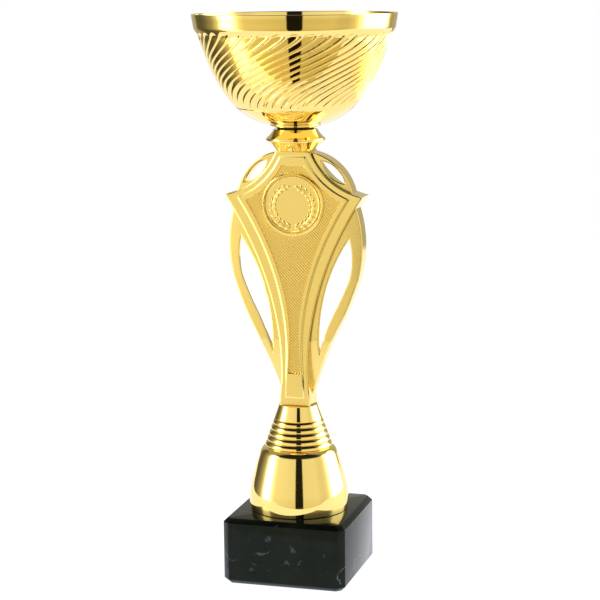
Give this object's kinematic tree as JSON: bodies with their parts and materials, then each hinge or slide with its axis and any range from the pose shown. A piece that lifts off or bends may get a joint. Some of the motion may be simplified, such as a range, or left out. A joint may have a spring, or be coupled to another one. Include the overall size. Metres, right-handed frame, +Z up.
{
  "type": "cup trophy",
  "caption": "Cup trophy: a flared spiral-fluted metal bowl on a star-shaped figure with side loops, a ringed cone, a bell riser and a polished stone block.",
  "frame": {"origin": "centre of the stone block's underside, on the rod's axis, where the trophy stands", "axes": "+Z up along the tie rod, -Y towards the front face with the emblem, +X to the trophy's right-hand side as seen from the front"},
  "size_m": [0.09, 0.09, 0.2515],
  "materials": {
    "marble": "polished black marble with faint grey veins",
    "mirror_gold": "vacuum-metallised mirror gold on moulded plastic",
    "satin_gold": "vacuum-metallised satin gold on moulded plastic, polished side faces",
    "bowl_gold": "gold-plated sheet metal, mirror bright",
    "zinc_steel": "bright zinc plate",
    "black_fibre": "matt black",
    "foam_tape": "white closed-cell foam"
  },
  "bodies": {
    "root": {"marble_base": "marble", "base_washer": "zinc_steel", "base_lock_washer": "zinc_steel", "base_nut": "zinc_steel", "tie_rod": "zinc_steel", "bell_riser": "mirror_gold", "ringed_cone": "mirror_gold", "figure_shell": "satin_gold", "emblem_disc": "satin_gold", "emblem_tape": "foam_tape", "knuckle": "mirror_gold", "fibre_washer": "black_fibre", "bowl_collar": "mirror_gold", "bowl": "bowl_gold", "bowl_washer": "zinc_steel", "bowl_nut": "zinc_steel"}
  },
  "joints": []
}
